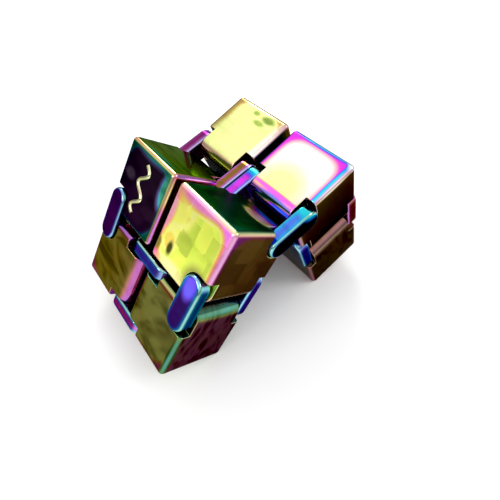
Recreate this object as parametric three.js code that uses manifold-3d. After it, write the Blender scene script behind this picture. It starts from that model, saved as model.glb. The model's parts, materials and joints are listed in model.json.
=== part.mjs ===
// Folding fidget cube: eight solid blocks joined in a ring by eight double-pivot hinges.
//
// Each hinge has two oblong links, one at each end of the hinge edge, and two axles.  An axle runs
// through its block along the hinge edge and is pressed into a blind bore of both links, so the two
// links and two axles of a hinge turn together as one small cage.
//
// Everything is laid out first as the closed cube, centred on the origin: left half at -X, right half
// at +X, near blocks at -Y, far blocks at +Y.  The halves are then swung apart about the crest hinges
// and the open cube is stood on the inner bottom edges of its two halves, on the plane Z = 0.
// All lengths are in millimetres and all angles in degrees.

import * as THREE from 'three';
import { mergeVertices } from 'three/addons/utils/BufferGeometryUtils.js';
import { RoundedBoxGeometry } from 'three/addons/geometries/RoundedBoxGeometry.js';
import Module from 'manifold-3d';

// Driving dimensions ---------------------------------------------------------------------------

const BLOCK = 19.0;             // edge length of one block
const BLOCK_GAP = 2.0;          // space between neighbouring blocks of the closed cube
const EDGE_RADIUS = 0.9;        // rounding of the plain block edges
const LEFT_TURN = 52.0;         // crest links against the left half as the cube stands
const RIGHT_TURN = 5.0;         // right half against the crest links as the cube stands

const PIVOT_INSET = 3.3;        // pivot centre to each of the two faces that meet at the hinge edge
const AXLE_RADIUS = 1.0;
const AXLE_RUNNING_GAP = 0.15;  // radial, axle in its block
const AXLE_PRESS_GAP = 0.1;     // radial, axle in a link
const AXLE_END_GAP = 0.2;       // axle end to the bottom of the link's bore

const LINK_HALF_WIDTH = 2.85;
const LINK_EDGE_BEVEL = 0.4;
const LINK_SWEEP_GAP = 0.3;     // link edge to the wall of its recess
const LINK_FLOOR_GAP = 0.3;     // link to the floor of its recess
const LINK_FACING_GAP = 0.3;    // two links that face each other across the block gap
const LINK_CAP = 1.1;           // wall left between the blind bore and the outer face
const RECESS_DEPTH = 2.8;       // link recess, measured from the face it is sunk in

const WAVE_LENGTH = 12.5;       // raised wave ornament on one block
const WAVE_SWING = 1.4;
const WAVE_WIDTH = 0.8;
const WAVE_HEIGHT = 0.25;
const WAVE_PERIODS = 3;
const WAVE_ROOT = 0.2;          // how far the ornament runs into its block

const FILLET_STEPS = 2;
const CORNER_STEPS = 3;
const LINK_END_STEPS = 5;
const ROUND_STEPS = 12;
const WAVE_STEPS = 8;           // per period
const OVERCUT = 1.0;            // how far a cutter reaches past the face it cuts

// Derived sizes --------------------------------------------------------------------------------

const PITCH = BLOCK + BLOCK_GAP;
const CUBE = 2 * BLOCK + BLOCK_GAP;
const PIVOT_OFFSET = BLOCK / 2 - PIVOT_INSET;      // pivot from the block's own centre
const PIVOT_SPACING = BLOCK_GAP + 2 * PIVOT_INSET;
const RECESS_RADIUS = LINK_HALF_WIDTH + LINK_SWEEP_GAP;
const LINK_PROUD = (BLOCK_GAP - LINK_FACING_GAP) / 2;
const LINK_THICKNESS = LINK_PROUD + RECESS_DEPTH - LINK_FLOOR_GAP;
const LINK_BORE_DEPTH = LINK_THICKNESS - LINK_CAP;
const AXLE_LENGTH = BLOCK - 2 * RECESS_DEPTH + 2 * (LINK_FLOOR_GAP + LINK_BORE_DEPTH - AXLE_END_GAP);

// Finishes -------------------------------------------------------------------------------------

const FINISHES = {
  plum: { color: 0x35283a, roughness: 0.2, metalness: 1.0 },
  lime: { color: 0xcfd75a, roughness: 0.2, metalness: 1.0 },
  olive: { color: 0x7a6a3c, roughness: 0.2, metalness: 1.0 },
  straw: { color: 0xf4f29c, roughness: 0.2, metalness: 1.0 },
  pearl: { color: 0xf6e4f2, roughness: 0.2, metalness: 1.0 },
  umber: { color: 0x352c22, roughness: 0.2, metalness: 1.0 },
  violet: { color: 0x4b2f96, roughness: 0.2, metalness: 1.0 },
  steel: { color: 0x9a9ca3, roughness: 0.35, metalness: 1.0 },
};

// Blocks and hinges ----------------------------------------------------------------------------

// grid is the block's place in the closed cube: -1 or +1 along X, Y and Z.
const BLOCKS = {
  left_far_upper: { grid: [-1, 1, 1], half: 'left', finish: 'plum', ornament: true },
  left_near_upper: { grid: [-1, -1, 1], half: 'left', finish: 'lime' },
  left_far_lower: { grid: [-1, 1, -1], half: 'left', finish: 'olive' },
  left_near_lower: { grid: [-1, -1, -1], half: 'left', finish: 'olive' },
  right_far_upper: { grid: [1, 1, 1], half: 'right', finish: 'straw' },
  right_near_upper: { grid: [1, -1, 1], half: 'right', finish: 'pearl' },
  right_far_lower: { grid: [1, 1, -1], half: 'right', finish: 'umber' },
  right_near_lower: { grid: [1, -1, -1], half: 'right', finish: 'umber' },
};

const X = new THREE.Vector3(1, 0, 0);
const Y = new THREE.Vector3(0, 1, 0);
const Z = new THREE.Vector3(0, 0, 1);

// toward points from the first block to the second, and outside from the hinge's blocks to the
// edge of the cube that the hinge lies on.  The links stand at the two ends of that edge; ends names
// the link at the end that toward x outside points to, then the other one.
const HINGES = [
  { name: 'crest_far', half: 'crest', pair: ['left_far_upper', 'right_far_upper'],
    toward: X, outside: Z, ends: ['inner', 'outer'], sides: ['left', 'right'] },
  { name: 'crest_near', half: 'crest', pair: ['left_near_upper', 'right_near_upper'],
    toward: X, outside: Z, ends: ['outer', 'inner'], sides: ['left', 'right'] },
  { name: 'left_far', half: 'left', pair: ['left_far_lower', 'left_far_upper'],
    toward: Z, outside: Y, ends: ['outer', 'inner'], sides: ['lower', 'upper'] },
  { name: 'left_near', half: 'left', pair: ['left_near_upper', 'left_near_lower'],
    toward: Z.clone().negate(), outside: Y.clone().negate(), ends: ['outer', 'inner'],
    sides: ['upper', 'lower'] },
  { name: 'left_base', half: 'left', pair: ['left_near_lower', 'left_far_lower'],
    toward: Y, outside: X.clone().negate(), ends: ['upper', 'lower'], sides: ['near', 'far'] },
  { name: 'right_far', half: 'right', pair: ['right_far_upper', 'right_far_lower'],
    toward: Z.clone().negate(), outside: Y, ends: ['outer', 'inner'], sides: ['upper', 'lower'] },
  { name: 'right_near', half: 'right', pair: ['right_near_lower', 'right_near_upper'],
    toward: Z, outside: Y.clone().negate(), ends: ['outer', 'inner'], sides: ['lower', 'upper'] },
  { name: 'right_base', half: 'right', pair: ['right_near_lower', 'right_far_lower'],
    toward: Y, outside: X, ends: ['lower', 'upper'], sides: ['near', 'far'] },
];

// Solid helpers --------------------------------------------------------------------------------

const wasm = await Module();
wasm.setup();

function solidOf(geometry) {
  const bare = geometry.clone();
  for (const name of Object.keys(bare.attributes)) {
    if (name !== 'position') bare.deleteAttribute(name);
  }
  const merged = mergeVertices(bare, 1e-5);
  const vertProperties = new Float32Array(merged.attributes.position.array);
  const triVerts = new Uint32Array(merged.index.array);
  return new wasm.Manifold(new wasm.Mesh({ numProp: 3, vertProperties, triVerts }));
}

function geometryOf(solid) {
  const mesh = solid.getMesh();
  const geometry = new THREE.BufferGeometry();
  geometry.setAttribute('position', new THREE.BufferAttribute(new Float32Array(mesh.vertProperties), 3));
  geometry.setIndex(new THREE.BufferAttribute(new Uint32Array(mesh.triVerts), 1));
  geometry.computeVertexNormals();
  return geometry;
}

// The frame of a hinge: its first axis is toward, its second outside and its third runs along the edge.
function hingeBasis(toward, outside) {
  const along = new THREE.Vector3().crossVectors(toward, outside);
  return new THREE.Matrix4().makeBasis(toward, outside, along);
}

// A prism on a 2-D outline, between two heights along the third axis of the frame.
function prism(shape, low, high, frame) {
  const geometry = new THREE.ExtrudeGeometry(shape, {
    depth: high - low, steps: 1, bevelEnabled: false, curveSegments: CORNER_STEPS,
  });
  geometry.translate(0, 0, low);
  geometry.applyMatrix4(frame);
  return solidOf(geometry);
}

// A round bar along the third axis of the frame, centred on (u, v).
function bar(radius, low, high, u, v, frame) {
  const geometry = new THREE.CylinderGeometry(radius, radius, high - low, ROUND_STEPS);
  geometry.rotateX(Math.PI / 2);
  geometry.translate(u, v, (high + low) / 2);
  geometry.applyMatrix4(frame);
  return solidOf(geometry);
}

// Outlines, in the plane across the hinge edge -----------------------------------------------------

// What is removed from a square corner to round the hinge edge about its pivot.
function hingeEdgeWaste() {
  const face = BLOCK / 2;
  const shape = new THREE.Shape();
  shape.moveTo(face + OVERCUT, face + OVERCUT);
  shape.lineTo(PIVOT_OFFSET, face + OVERCUT);
  shape.lineTo(PIVOT_OFFSET, face);
  shape.absarc(PIVOT_OFFSET, PIVOT_OFFSET, PIVOT_INSET, Math.PI / 2, 0, true);
  shape.lineTo(face + OVERCUT, PIVOT_OFFSET);
  shape.closePath();
  return shape;
}

// The recess leaves room for the link to swing a quarter turn, from toward to outside.
function recessOutline() {
  const open = BLOCK / 2 + OVERCUT;
  const wall = PIVOT_OFFSET - RECESS_RADIUS;
  const shape = new THREE.Shape();
  shape.moveTo(open, open);
  shape.lineTo(wall, open);
  shape.lineTo(wall, PIVOT_OFFSET);
  shape.absarc(PIVOT_OFFSET, PIVOT_OFFSET, RECESS_RADIUS, Math.PI, 1.5 * Math.PI, false);
  shape.lineTo(open, wall);
  shape.closePath();
  return shape;
}

// The oblong outline of a link, with its pivots PIVOT_SPACING apart.
function linkOutline() {
  const reach = PIVOT_SPACING / 2;
  const shape = new THREE.Shape();
  shape.moveTo(-reach, -LINK_HALF_WIDTH);
  shape.lineTo(reach, -LINK_HALF_WIDTH);
  shape.absarc(reach, 0, LINK_HALF_WIDTH, -Math.PI / 2, Math.PI / 2, false);
  shape.lineTo(-reach, LINK_HALF_WIDTH);
  shape.absarc(-reach, 0, LINK_HALF_WIDTH, Math.PI / 2, 1.5 * Math.PI, false);
  return shape;
}

// A ribbon of even width that follows a sine wave.
function waveOutline() {
  const steps = WAVE_STEPS * WAVE_PERIODS;
  const edge = (side) => (step) => {
    const share = step / steps;
    const swing = WAVE_SWING * Math.sin(2 * Math.PI * WAVE_PERIODS * share);
    return new THREE.Vector2((share - 0.5) * WAVE_LENGTH, swing + side * WAVE_WIDTH / 2);
  };
  const count = Array.from({ length: steps + 1 }, (_, step) => step);
  return new THREE.Shape([...count.map(edge(-1)), ...count.reverse().map(edge(1))]);
}

// Pieces ---------------------------------------------------------------------------------------

// The hinges of a block, each seen from that block: the second block looks back along toward.
function hingesOf(blockName) {
  return HINGES.filter((hinge) => hinge.pair.includes(blockName)).map((hinge) => {
    const isFirst = hinge.pair[0] === blockName;
    return { toward: isFirst ? hinge.toward : hinge.toward.clone().negate(), outside: hinge.outside };
  });
}

function makeBlock(blockName) {
  let solid = solidOf(new RoundedBoxGeometry(BLOCK, BLOCK, BLOCK, FILLET_STEPS, EDGE_RADIUS));
  const face = BLOCK / 2;
  const floor = face - RECESS_DEPTH;
  for (const { toward, outside } of hingesOf(blockName)) {
    const frame = hingeBasis(toward, outside);
    const past = face + OVERCUT;
    solid = solid.subtract(prism(hingeEdgeWaste(), -past, past, frame));
    solid = solid.subtract(prism(recessOutline(), floor, past, frame));
    solid = solid.subtract(prism(recessOutline(), -past, -floor, frame));
    const boreRadius = AXLE_RADIUS + AXLE_RUNNING_GAP;
    solid = solid.subtract(bar(boreRadius, -past, past, PIVOT_OFFSET, PIVOT_OFFSET, frame));
  }
  if (BLOCKS[blockName].ornament) {
    solid = solid.add(makeWave());
  }
  return geometryOf(solid);
}

// The ornament runs up the block's outer face, the one that looks along -X.
function makeWave() {
  const face = BLOCK / 2;
  return prism(waveOutline(), face - WAVE_ROOT, face + WAVE_HEIGHT, hingeBasis(Z, Y));
}

// Built with its pivots on the first axis, its outer face up and that face at the height LINK_PROUD.
function makeLink() {
  const shell = new THREE.ExtrudeGeometry(linkOutline(), {
    depth: LINK_THICKNESS - 2 * LINK_EDGE_BEVEL,
    steps: 1,
    curveSegments: LINK_END_STEPS,
    bevelEnabled: true,
    bevelSegments: 1,
    bevelThickness: LINK_EDGE_BEVEL,
    bevelSize: LINK_EDGE_BEVEL,
    bevelOffset: -LINK_EDGE_BEVEL,
  });
  shell.translate(0, 0, LINK_PROUD - LINK_THICKNESS + LINK_EDGE_BEVEL);
  let solid = solidOf(shell);
  const inner = LINK_PROUD - LINK_THICKNESS;
  const here = new THREE.Matrix4();
  for (const side of [-1, 1]) {
    const boreRadius = AXLE_RADIUS + AXLE_PRESS_GAP;
    const bore = bar(boreRadius, inner - OVERCUT, inner + LINK_BORE_DEPTH, side * PIVOT_SPACING / 2, 0, here);
    solid = solid.subtract(bore);
  }
  return geometryOf(solid);
}

function makeAxle() {
  const bare = new THREE.CylinderGeometry(AXLE_RADIUS, AXLE_RADIUS, AXLE_LENGTH, ROUND_STEPS);
  bare.rotateX(Math.PI / 2);
  return geometryOf(solidOf(bare));
}

// Assembly -------------------------------------------------------------------------------------

function finishOf(name) {
  const { color, roughness, metalness } = FINISHES[name];
  return new THREE.MeshStandardMaterial({ color, roughness, metalness });
}

function addMesh(group, name, geometry, finish) {
  const mesh = new THREE.Mesh(geometry, finishOf(finish));
  mesh.name = name;
  group.add(mesh);
  return mesh;
}

function blockCentre(blockName) {
  return new THREE.Vector3(...BLOCKS[blockName].grid).multiplyScalar(PITCH / 2);
}

// The middle of a hinge: half way between its two pivots and half way along its edge.
function hingeCentre(hinge) {
  const centre = blockCentre(hinge.pair[0]).add(blockCentre(hinge.pair[1])).multiplyScalar(0.5);
  return centre.addScaledVector(hinge.outside, PIVOT_OFFSET);
}

function addHinge(group, hinge) {
  const frame = hingeBasis(hinge.toward, hinge.outside);
  const along = new THREE.Vector3().setFromMatrixColumn(frame, 2);
  const centre = hingeCentre(hinge);
  [1, -1].forEach((end, index) => {
    const link = addMesh(group, `${hinge.name}_${hinge.ends[index]}_link`, makeLink(), 'violet');
    link.quaternion.setFromRotationMatrix(frame);
    if (end < 0) link.rotateX(Math.PI);
    link.position.copy(centre).addScaledVector(along, end * BLOCK / 2);
  });
  [-1, 1].forEach((side, index) => {
    const axle = addMesh(group, `${hinge.name}_${hinge.sides[index]}_axle`, makeAxle(), 'steel');
    axle.quaternion.setFromRotationMatrix(frame);
    axle.position.copy(centre).addScaledVector(hinge.toward, side * PIVOT_SPACING / 2);
  });
}

// Swings a half of the closed cube about its own crest pivot.
function swing(group, degrees, side) {
  const angle = THREE.MathUtils.degToRad(degrees);
  const pivot = new THREE.Vector3(side * PIVOT_SPACING / 2, 0, CUBE / 2 - PIVOT_INSET);
  group.rotation.y = angle;
  group.position.copy(pivot).sub(pivot.clone().applyEuler(group.rotation));
}

// The middle of the rounding of a half's inner bottom edge.
function footOf(group, side) {
  const foot = new THREE.Vector3(side * (BLOCK_GAP / 2 + EDGE_RADIUS), 0, EDGE_RADIUS - CUBE / 2);
  return foot.applyMatrix4(group.matrixWorld);
}

const cube = new THREE.Group();
const parts = { left: new THREE.Group(), crest: new THREE.Group(), right: new THREE.Group() };
for (const part of Object.values(parts)) {
  cube.add(part);
}

for (const [blockName, block] of Object.entries(BLOCKS)) {
  const mesh = addMesh(parts[block.half], `${blockName}_block`, makeBlock(blockName), block.finish);
  mesh.position.copy(blockCentre(blockName));
}
for (const hinge of HINGES) {
  addHinge(parts[hinge.half], hinge);
}

swing(parts.left, LEFT_TURN, -1);
swing(parts.right, -RIGHT_TURN, 1);
cube.updateMatrixWorld(true);

// The cube leans until the rounded inner bottom edges of both halves lie on the same level.
const leftFoot = footOf(parts.left, -1);
const rightFoot = footOf(parts.right, 1);
cube.rotation.y = Math.atan2(rightFoot.z - leftFoot.z, rightFoot.x - leftFoot.x);
cube.updateMatrixWorld(true);
const extent = new THREE.Box3().setFromObject(cube, true);
cube.position.set(-(extent.min.x + extent.max.x) / 2, 0, -extent.min.z);
cube.updateMatrixWorld(true);

export default cube;
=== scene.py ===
# %% [markdown]
# # A folding fidget cube with a rainbow mirror coat
#
# The toy is a ring of eight metal blocks.  Neighbouring blocks are joined by short oblong links that
# turn on two pins each, so the ring folds over and over.  Here it stands half open, like a tent, on
# the lower inner edges of its two halves.
#
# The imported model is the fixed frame.  It says where every pivot is and which body each part moves
# with.  This lesson models finer blocks and links on that frame and gives them the thin-film finish.

# %% Load the frame
import json
import math

import bmesh
import bpy
from mathutils import Matrix, Vector


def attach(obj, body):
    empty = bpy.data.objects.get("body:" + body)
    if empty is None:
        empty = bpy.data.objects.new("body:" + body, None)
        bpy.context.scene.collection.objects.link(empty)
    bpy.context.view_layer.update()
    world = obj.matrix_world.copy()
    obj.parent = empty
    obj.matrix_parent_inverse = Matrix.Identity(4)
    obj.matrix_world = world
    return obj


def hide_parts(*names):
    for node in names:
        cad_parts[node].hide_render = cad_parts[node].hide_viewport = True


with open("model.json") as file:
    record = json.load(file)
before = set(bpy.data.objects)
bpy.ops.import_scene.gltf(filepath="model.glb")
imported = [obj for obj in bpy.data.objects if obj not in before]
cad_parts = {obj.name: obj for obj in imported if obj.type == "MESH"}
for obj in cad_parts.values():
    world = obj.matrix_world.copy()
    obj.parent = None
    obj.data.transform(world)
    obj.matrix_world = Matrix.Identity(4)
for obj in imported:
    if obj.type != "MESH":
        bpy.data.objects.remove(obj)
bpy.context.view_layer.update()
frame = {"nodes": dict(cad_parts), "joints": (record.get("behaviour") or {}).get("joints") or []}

# %% [markdown]
# ## Sizes
#
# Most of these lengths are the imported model's own.  Two are only for looks: `SOFT_RADIUS` rounds the
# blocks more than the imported 0.9 mm, and `LINK_EDGE_RADIUS` rounds the links more than the packed
# bevel.  `EDGE_RADIUS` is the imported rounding, on which the cube stands.
#
# Pieces are modelled in millimetres, because a bevel of a tenth of a millimetre is then a comfortable
# number, and they become metres when they are put in place.

# %% Sizes, in millimetres
MM = 0.001
BLOCK = 19.0
BLOCK_GAP = 2.0
EDGE_RADIUS = 0.9
SOFT_RADIUS = 1.2
PIVOT_INSET = 3.3
RECESS_DEPTH = 2.8
LINK_HALF_WIDTH = 2.85
LINK_EDGE_RADIUS = 0.65
LINK_SWEEP_GAP = 0.3
LINK_FLOOR_GAP = 0.3
LINK_FACING_GAP = 0.3
LINK_CAP = 1.1
AXLE_RADIUS = 1.0
BLOCK_BORE = AXLE_RADIUS + 0.15
LINK_BORE = AXLE_RADIUS + 0.1
LEFT_TURN = 52.0
RIGHT_TURN = 5.0

HALF = BLOCK / 2
PITCH = BLOCK + BLOCK_GAP
PIVOT_OFFSET = HALF - PIVOT_INSET
PIVOT_SPACING = BLOCK_GAP + 2 * PIVOT_INSET
RECESS_RADIUS = LINK_HALF_WIDTH + LINK_SWEEP_GAP
LINK_PROUD = (BLOCK_GAP - LINK_FACING_GAP) / 2
LINK_THICKNESS = LINK_PROUD + RECESS_DEPTH - LINK_FLOOR_GAP
LINK_LENGTH = PIVOT_SPACING + 2 * LINK_HALF_WIDTH

# How finely the curves are divided
HINGE_EDGE_STEPS = 14
SOFT_EDGE_STEPS = 6
RECESS_STEPS = 12
LINK_END_STEPS = 16
BORE_SIDES = 32
print("pivot spacing", PIVOT_SPACING, "link", LINK_LENGTH, 2 * LINK_HALF_WIDTH, LINK_THICKNESS)

# %% [markdown]
# ## Where everything goes
#
# The parts are laid out as the closed cube, with left at -X, near at -Y and the crest on top.  The
# left half has swung far from the crest links and the right half hardly at all.  Opened like this,
# the cube leans until the rounded inner bottom edges of both halves, its feet, stand level.  The
# crest pivots of the standing cube come from the frame's joints, so nothing is measured twice.

# %% From the closed cube to the standing pose
X, Y, Z = Vector((1, 0, 0)), Vector((0, 1, 0)), Vector((0, 0, 1))
standing = {joint["name"]: Vector(joint["pos_m"]) / MM for joint in frame["joints"]}
CREST_HEIGHT = PITCH / 2 + PIVOT_OFFSET


def swing(side, angle, pivot=None):
    """Turn a half about its crest pivot, and carry that pivot to another place if one is given."""
    closed = Vector((side * PIVOT_SPACING / 2, 0, CREST_HEIGHT))
    turn = Matrix.Rotation(math.radians(angle), 4, "Y")
    return Matrix.Translation(pivot or closed) @ turn @ Matrix.Translation(-closed)


def foot(side, angle):
    """The middle of the rounding of a half's inner bottom edge, before the cube leans."""
    closed = Vector((side * (BLOCK_GAP / 2 + EDGE_RADIUS), 0, EDGE_RADIUS - PITCH / 2 - HALF))
    return swing(side, angle) @ closed


step = foot(1, -RIGHT_TURN) - foot(-1, LEFT_TURN)
lean = math.degrees(math.atan2(step.z, step.x))
STANCE = {
    "left_half": swing(-1, lean + LEFT_TURN, standing["crest_left_pivot"]),
    "right_half": swing(1, lean - RIGHT_TURN, standing["crest_right_pivot"]),
    "crest_hinge": swing(-1, lean, standing["crest_left_pivot"]),
}
print("the crest links lean by", round(lean, 2), "degrees")

# %% [markdown]
# ## The ring
#
# Each hinge joins a first block to a second.  `toward` points from the first to the second, and
# `outside` points to the cube edge that the hinge lies on.  Its two links stand at the two ends of
# that edge, the first at the end that `toward` crossed with `outside` points to.

# %% Blocks and hinges
BLOCKS = {
    "left_far_upper": (-1, 1, 1),
    "left_near_upper": (-1, -1, 1),
    "left_far_lower": (-1, 1, -1),
    "left_near_lower": (-1, -1, -1),
    "right_far_upper": (1, 1, 1),
    "right_near_upper": (1, -1, 1),
    "right_far_lower": (1, 1, -1),
    "right_near_lower": (1, -1, -1),
}
HINGES = {
    "crest_far": ("left_far_upper", "right_far_upper", X, Z, ("inner", "outer")),
    "crest_near": ("left_near_upper", "right_near_upper", X, Z, ("outer", "inner")),
    "left_far": ("left_far_lower", "left_far_upper", Z, Y, ("outer", "inner")),
    "left_near": ("left_near_upper", "left_near_lower", -Z, -Y, ("outer", "inner")),
    "left_base": ("left_near_lower", "left_far_lower", Y, -X, ("upper", "lower")),
    "right_far": ("right_far_upper", "right_far_lower", -Z, Y, ("outer", "inner")),
    "right_near": ("right_near_lower", "right_near_upper", Z, -Y, ("outer", "inner")),
    "right_base": ("right_near_lower", "right_far_lower", Y, X, ("lower", "upper")),
}


def half_of(name):
    """The body that a block or a hinge moves with."""
    return "crest_hinge" if name.startswith("crest") else name.split("_")[0] + "_half"


def hinge_ends(block):
    """The (toward, outside) directions of the two hinges that a block takes part in."""
    ends = []
    for first, second, toward, outside, _ in HINGES.values():
        if block in (first, second):
            ends.append((toward if block == first else -toward, outside))
    return ends


def block_axes(block):
    """Turns the one modelled block into this one: columns are its own X, Y and Z."""
    (toward_a, outside_a), (toward_b, outside_b) = hinge_ends(block)
    if (toward_b + outside_a).length > 0.1:
        toward_a, outside_a, outside_b = toward_b, outside_b, outside_a
    return Matrix((toward_a, outside_a, outside_b)).transposed().to_4x4()


for block in BLOCKS:
    print(block, "mirrored" if block_axes(block).determinant() < 0 else "turned")

# %% [markdown]
# ## Working by hand, from code
#
# Every operator acts on what is selected, so each step says first which piece it works on, and
# then which points, edges or faces of it, chosen by their place.

# %% Small helpers for modelling
def work_on(piece):
    """Make this piece the only selected and active one."""
    bpy.ops.object.select_all(action="DESELECT")
    piece.select_set(True)
    bpy.context.view_layer.objects.active = piece


def choose(kind, passes):
    """In edit mode, select the points, edges or faces whose points all pass a test."""
    bpy.ops.mesh.select_mode(type=kind)
    bpy.ops.mesh.select_all(action="DESELECT")
    mesh = bmesh.from_edit_mesh(bpy.context.edit_object.data)
    elements = {"VERT": mesh.verts, "EDGE": mesh.edges, "FACE": mesh.faces}[kind]
    chosen = 0
    for element in elements:
        points = [element] if kind == "VERT" else element.verts
        if all(passes(point.co) for point in points):
            element.select_set(True)
            chosen += 1
    bmesh.update_edit_mesh(bpy.context.edit_object.data)
    return chosen


def round_edges(radius, steps):
    """Round the selected edges."""
    bpy.ops.mesh.bevel(offset=radius, segments=steps, profile=0.5, affect="EDGES", clamp_overlap=True)


def round_sharp_edges(radius, steps, angle=40):
    """Round every edge that is sharper than an angle."""
    bpy.ops.mesh.select_mode(type="EDGE")
    bpy.ops.mesh.select_all(action="DESELECT")
    bpy.ops.mesh.edges_select_sharp(sharpness=math.radians(angle))
    round_edges(radius, steps)


def modify(piece, kind, **settings):
    """Add a modifier, set it and apply it."""
    work_on(piece)
    modifier = piece.modifiers.new(kind.lower(), kind)
    for name, value in settings.items():
        setattr(modifier, name, value)
    bpy.ops.object.modifier_apply(modifier=modifier.name)


def cut_away(piece, cutter):
    """Cut one piece out of another and throw the cutter away."""
    modify(piece, "BOOLEAN", object=cutter, operation="DIFFERENCE", solver="EXACT")
    bpy.data.objects.remove(cutter)


def box(name, low, high):
    """A box between two corners."""
    low, high = Vector(low), Vector(high)
    bpy.ops.mesh.primitive_cube_add(size=1, location=(low + high) / 2)
    piece = bpy.context.object
    piece.name = name
    piece.scale = high - low
    bpy.ops.object.transform_apply(location=True, rotation=True, scale=True)
    return piece


def report(piece):
    """Print how many points and faces a piece has."""
    print(piece.name, len(piece.data.vertices), "points,", len(piece.data.polygons), "faces")


# %% [markdown]
# ## One block
#
# A block is a die-cast box with soft edges.  Two of its edges are hinge edges, rounded about their
# pivot so that the neighbour can roll past.  At both ends of a hinge edge there is a square recess
# for a link, with its inner corner rounded about the same pivot.
#
# All eight blocks have this one shape, turned or mirrored, so it is modelled once.  Hinge A lies on
# the +X +Y edge, and hinge B on the -Y +Z edge.

# %% The plain body: soft edges and two rolled hinge edges
work_on(next(iter(frame["nodes"].values())))
bpy.ops.object.select_all(action="DESELECT")
block_master = box("block_master", (-HALF, -HALF, -HALF), (HALF, HALF, HALF))
bpy.ops.object.mode_set(mode="EDIT")
for near_hinge in (lambda p: p.x > 0 and p.y > 0, lambda p: p.y < 0 and p.z > 0):
    choose("EDGE", near_hinge)
    round_edges(PIVOT_INSET, HINGE_EDGE_STEPS)
round_sharp_edges(SOFT_RADIUS, SOFT_EDGE_STEPS)
bpy.ops.object.mode_set(mode="OBJECT")
report(block_master)

# %% [markdown]
# ### Recesses and pin bores
#
# The cutter for one recess is a box that reaches past the block, with the corner that points into
# the block rounded about the pivot.  A plain round bar cuts the bore of the pin.  A cutter is made
# for hinge A and turned a quarter for hinge B.

# %% Cut the recesses
OVERCUT = 1.0
TO_HINGE_B = Matrix(((0, 0, -1), (-1, 0, 0), (0, 1, 0))).to_4x4()


def recess_cutter():
    """A recess at the +Z end of hinge A."""
    low, high = PIVOT_OFFSET - RECESS_RADIUS, HALF + OVERCUT
    cutter = box("recess_cutter", (low, low, HALF - RECESS_DEPTH), (high, high, high))
    bpy.ops.object.mode_set(mode="EDIT")
    choose("EDGE", lambda p: p.x < PIVOT_OFFSET and p.y < PIVOT_OFFSET)
    round_edges(RECESS_RADIUS, RECESS_STEPS)
    bpy.ops.object.mode_set(mode="OBJECT")
    return cutter


def other_recess_cutter():
    """The same recess at the other end, by half a turn about the diagonal."""
    cutter = recess_cutter()
    cutter.data.transform(Matrix.Rotation(math.pi, 4, X + Y))
    return cutter


def bore_cutter():
    """The round bore that runs along hinge A."""
    place = (PIVOT_OFFSET, PIVOT_OFFSET, 0)
    bpy.ops.mesh.primitive_cylinder_add(
        vertices=BORE_SIDES, radius=BLOCK_BORE, depth=BLOCK, location=place
    )
    bpy.ops.object.transform_apply(location=True, rotation=True, scale=True)
    return bpy.context.object


for placing in (Matrix.Identity(4), TO_HINGE_B):
    for make_cutter in (recess_cutter, other_recess_cutter, bore_cutter):
        cutter = make_cutter()
        cutter.data.transform(placing)
        cut_away(block_master, cutter)
report(block_master)

# %% [markdown]
# ### Broken edges
#
# The cast edges of the recesses aren't razor sharp.  A narrow bevel on every edge that is still
# sharp catches a thin line of light, as the real rims do.

# %% Break the recess edges
RIM_RADIUS = 0.22
work_on(block_master)
bpy.ops.object.mode_set(mode="EDIT")
bpy.ops.mesh.select_all(action="SELECT")
bpy.ops.mesh.remove_doubles(threshold=0.002)
bpy.ops.mesh.dissolve_limited(angle_limit=math.radians(0.5))
bpy.ops.object.mode_set(mode="OBJECT")
modify(block_master, "BEVEL", width=RIM_RADIUS, segments=3, limit_method="ANGLE",
       angle_limit=math.radians(50), use_clamp_overlap=True)
report(block_master)

# %% [markdown]
# ## One link
#
# A link is a thick oblong plate with round ends.  It starts as a plain bar whose upright edges are
# rounded by half its width, so the ends become half circles.  Then the two flat rims are softened,
# and two blind bores take the pins.

# %% The link
bar = Vector((LINK_LENGTH, 2 * LINK_HALF_WIDTH, LINK_THICKNESS)) / 2
link_master = box("link_master", -bar, bar)
bpy.ops.object.mode_set(mode="EDIT")
for end_x in (-1, 1):
    for end_y in (-1, 1):
        choose("EDGE", lambda p: p.x * end_x > LINK_LENGTH / 4 and p.y * end_y > 0.5)
        bpy.ops.mesh.bevel(
            offset=LINK_HALF_WIDTH - 0.001, segments=LINK_END_STEPS, profile=0.5, affect="EDGES"
        )
bpy.ops.mesh.select_all(action="SELECT")
bpy.ops.mesh.remove_doubles(threshold=0.01)
round_sharp_edges(LINK_EDGE_RADIUS, SOFT_EDGE_STEPS, angle=60)
bpy.ops.object.mode_set(mode="OBJECT")
for end in (-1, 1):
    depth = LINK_THICKNESS - LINK_CAP
    centre = (end * PIVOT_SPACING / 2, 0, -LINK_THICKNESS / 2 + (depth - OVERCUT) / 2)
    bpy.ops.mesh.primitive_cylinder_add(
        vertices=BORE_SIDES, radius=LINK_BORE, depth=depth + OVERCUT, location=centre
    )
    bpy.ops.object.transform_apply(location=True, rotation=True, scale=True)
    cut_away(link_master, bpy.context.object)
report(link_master)

# %% [markdown]
# ## The raised wave
#
# One block carries a raised ornament on its outer face.  Here it is a plain wave: a small disc is
# extruded along the curve step by step, as a rod would be drawn, and the rod is sunk into the face
# until only a low round ridge stands out.  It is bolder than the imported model's wave: a tenth of a
# millimetre prouder, with two periods where that has three.

# %% The wave ornament
WAVE_LENGTH = 12.5
WAVE_SWING = 1.5
WAVE_RADIUS = 0.55
WAVE_HEIGHT = 0.35
WAVE_PERIODS = 2
WAVE_STEPS = 90


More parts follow.
